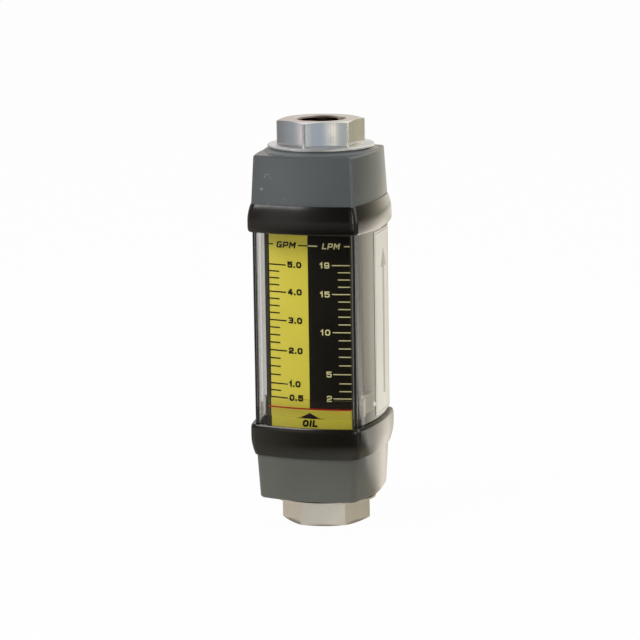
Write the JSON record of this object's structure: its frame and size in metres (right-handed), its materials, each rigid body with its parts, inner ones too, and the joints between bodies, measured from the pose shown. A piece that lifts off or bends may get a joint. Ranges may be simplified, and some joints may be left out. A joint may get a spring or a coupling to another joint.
{
  "type": "rotameter",
  "caption": "In-line flow meter with threaded hex ports, grey end caps, black rubber guards and a clear window over a yellow and black scale, where a clear slide with a red line marks the flow.",
  "frame": {"origin": "on the flow axis, at the mouth of the inlet port's thread, which is the meter's lower end", "axes": "+Z along the flow, from inlet to outlet; the scale faces -Y; +X is the reader's right"},
  "size_m": [0.0522, 0.0551, 0.168],
  "materials": {
    "port_aluminium": "satin, machined",
    "casing_aluminium": "fine turned",
    "cap_grey": "smooth moulded, slightly glossy",
    "guard_rubber": "glossy black",
    "clear_window": "clear, polished",
    "clear_slide": "clear, polished",
    "carrier_black": "smooth moulded",
    "scale_print": "printed yellow and black",
    "label_white": "white film",
    "line_red": "red line",
    "follower_white": "natural white",
    "seal_rubber": "matt black",
    "steel": "fine",
    "magnet": "coated, sintered"
  },
  "bodies": {
    "core": {"inlet_port": "port_aluminium", "outlet_port": "port_aluminium", "casing_tube": "casing_aluminium", "lower_casing_seal": "seal_rubber", "upper_casing_seal": "seal_rubber", "lower_spider": "steel", "upper_spider": "steel", "lower_retaining_ring": "steel", "upper_retaining_ring": "steel", "metering_cone": "casing_aluminium", "lower_cone_nut": "steel", "upper_cone_nut": "steel", "spring_seat": "steel", "return_spring": "steel"},
    "housing": {"lower_end_cap": "cap_grey", "upper_end_cap": "cap_grey", "lower_bumper": "guard_rubber", "upper_bumper": "guard_rubber", "window": "clear_window", "wrap_label": "label_white", "scale_carrier": "carrier_black", "scale_plate": "scale_print"},
    "piston": {"piston": "casing_aluminium", "orifice_disc": "steel", "transfer_magnet": "magnet", "magnet_retainer": "casing_aluminium"},
    "indicator": {"follower_ring": "follower_white", "follower_magnet_right": "magnet", "follower_magnet_left": "magnet", "indicator_band": "clear_slide", "indicator_line": "line_red"}
  },
  "joints": [
    {"name": "housing_turn", "type": "hinge", "parent": "core", "child": "housing", "pos_m": [0, 0, 0.084], "axis": [0, 0, 1], "continuous": true},
    {"name": "piston_travel", "type": "slide", "parent": "core", "child": "piston", "axis": [0, 0, 1], "range_m": [0, 0.06], "stiffness_N_per_m": 40, "springref_m": -0.03, "deforming": ["return_spring"]},
    {"name": "indicator_travel", "type": "slide", "parent": "housing", "child": "indicator", "axis": [0, 0, 1], "range_m": [0, 0.06]}
  ],
  "couplings": [
    {"joint": "indicator_travel", "follows": "piston_travel", "ratio": 1}
  ]
}
